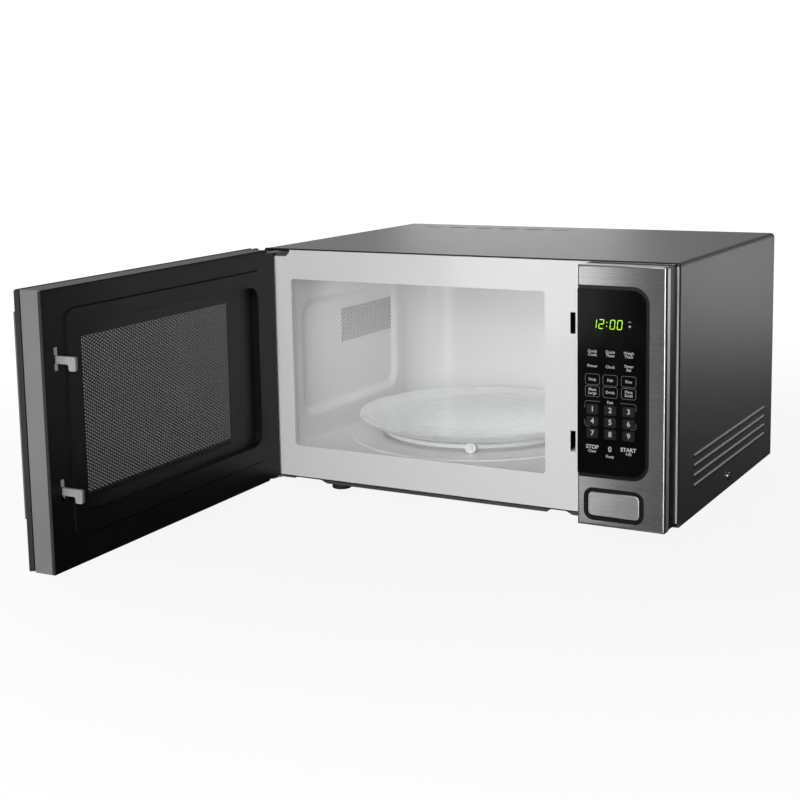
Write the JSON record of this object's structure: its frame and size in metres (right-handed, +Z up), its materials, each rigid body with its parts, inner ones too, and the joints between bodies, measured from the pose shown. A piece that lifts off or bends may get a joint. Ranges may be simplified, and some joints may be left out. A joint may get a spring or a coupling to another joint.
{
  "type": "microwave oven",
  "caption": "Countertop microwave oven with a side-hinged door, push-button release, glass turntable on a roller ring and a control panel at the right.",
  "frame": {"origin": "centre of the cabinet's footprint on the surface that it stands on", "axes": "+Z up, +X to the oven's right as one faces it, +Y to its back"},
  "size_m": [0.5044, 0.7416, 0.2745],
  "materials": {
    "wrap_paint": "satin",
    "galvanised": "satin",
    "enamel": "gloss",
    "brushed": "brushed",
    "black_gloss": "gloss",
    "black_glass": "gloss",
    "dark_plastic": "matte",
    "grey_plastic": "matte",
    "door_black": "satin",
    "screen_steel": "satin",
    "clear_glass": "gloss",
    "white_plastic": "matte",
    "hook_plastic": "matte",
    "rubber": "matte",
    "steel": "satin",
    "core_iron": "matte",
    "copper": "satin",
    "mica": "matte",
    "board_green": "gloss"
  },
  "bodies": {
    "cabinet": {"outer_wrap": "wrap_paint", "base_plate": "galvanised", "rear_plate": "galvanised", "cord_grommet": "dark_plastic", "front_plate": "enamel", "cavity_left_wall": "enamel", "cavity_right_wall": "enamel", "cavity_back_wall": "enamel", "cavity_ceiling": "enamel", "cavity_floor": "enamel", "waveguide": "galvanised", "waveguide_cover": "mica", "magnetron_yoke": "galvanised", "magnetron_tube": "copper", "transformer_core": "core_iron", "transformer_windings": "copper", "capacitor": "galvanised", "fan_shroud": "dark_plastic", "fan_motor": "steel", "turntable_motor": "steel", "oven_lamp": "clear_glass", "thermal_cutout": "dark_plastic", "filter_board": "board_green", "control_panel_frame": "dark_plastic", "control_fascia": "brushed", "keypad_membrane": "black_gloss", "display_window": "black_gloss", "display_module": "dark_plastic", "control_board": "board_green", "button_bezel": "dark_plastic", "latch_board": "dark_plastic", "switch_primary": "dark_plastic", "switch_secondary": "dark_plastic", "switch_monitor": "dark_plastic", "lever_bracket": "white_plastic", "upper_hinge_bracket": "steel", "lower_hinge_bracket": "steel", "foot_front_left": "rubber", "foot_front_right": "rubber", "foot_back_left": "rubber", "foot_back_right": "rubber", "wrap_screw_right": "steel", "wrap_screw_left": "steel"},
    "door": {"door_shell": "grey_plastic", "door_skin": "brushed", "door_backing": "door_black", "outer_glass": "black_glass", "door_screen": "screen_steel", "choke_cover": "door_black"},
    "latch": {"latch_arm": "hook_plastic"},
    "button": {"release_button": "brushed"},
    "lever": {"release_lever": "white_plastic"},
    "coupler": {"turntable_coupler": "white_plastic"},
    "tray": {"glass_tray": "clear_glass"},
    "ring": {"roller_ring": "white_plastic"},
    "roller_a": {"roller_1": "white_plastic"},
    "roller_b": {"roller_2": "white_plastic"},
    "roller_c": {"roller_3": "white_plastic"},
    "fan": {"fan_blade": "dark_plastic"}
  },
  "joints": [
    {"name": "door_hinge", "type": "hinge", "parent": "cabinet", "child": "door", "pos_m": [-0.2355, -0.183, 0.143], "axis": [0, 0, -1], "range_deg": [-88, 12]},
    {"name": "latch_slide", "type": "slide", "parent": "door", "child": "latch", "axis": [0, 0, 1], "range_m": [0, 0.0045], "stiffness_N_per_m": 900, "springref_m": -0.006},
    {"name": "button_press", "type": "slide", "parent": "cabinet", "child": "button", "axis": [0, 1, 0], "range_m": [0, 0.006], "stiffness_N_per_m": 400, "springref_m": -0.004},
    {"name": "lever_tip", "type": "hinge", "parent": "cabinet", "child": "lever", "pos_m": [0.15, -0.164, 0.0735], "axis": [1, 0, 0], "range_deg": [0, 11]},
    {"name": "table_drive", "type": "hinge", "parent": "cabinet", "child": "coupler", "pos_m": [-0.0545, -0.015, 0.05], "axis": [0, 0, 1], "continuous": true},
    {"name": "tray_lift", "type": "slide", "parent": "coupler", "child": "tray", "axis": [0, 0, 1], "range_m": [0, 0.025]},
    {"name": "ring_turn", "type": "hinge", "parent": "cabinet", "child": "ring", "pos_m": [-0.0545, -0.015, 0.056], "axis": [0, 0, 1], "continuous": true},
    {"name": "fan_spin", "type": "hinge", "parent": "cabinet", "child": "fan", "pos_m": [0.176, 0.155, 0.112], "axis": [0, 1, 0], "continuous": true},
    {"name": "roller_a_roll", "type": "hinge", "parent": "ring", "child": "roller_a", "pos_m": [-0.01239, -0.11922, 0.056], "axis": [0.3746, -0.9272, 0], "continuous": true},
    {"name": "roller_b_roll", "type": "hinge", "parent": "ring", "child": "roller_b", "pos_m": [0.0147, 0.07357, 0.056], "axis": [0.6157, 0.788, 0], "continuous": true},
    {"name": "roller_c_roll", "type": "hinge", "parent": "ring", "child": "roller_c", "pos_m": [-0.16581, 0.00064, 0.056], "axis": [-0.9903, 0.1392, 0], "continuous": true}
  ],
  "couplings": [
    {"joint": "lever_tip", "follows": "button_press", "rad_per_m": 29.5},
    {"joint": "ring_turn", "follows": "table_drive", "ratio": 0.5},
    {"joint": "roller_a_roll", "follows": "table_drive", "ratio": -9.6583},
    {"joint": "roller_b_roll", "follows": "table_drive", "ratio": -9.6583},
    {"joint": "roller_c_roll", "follows": "table_drive", "ratio": -9.6583}
  ]
}
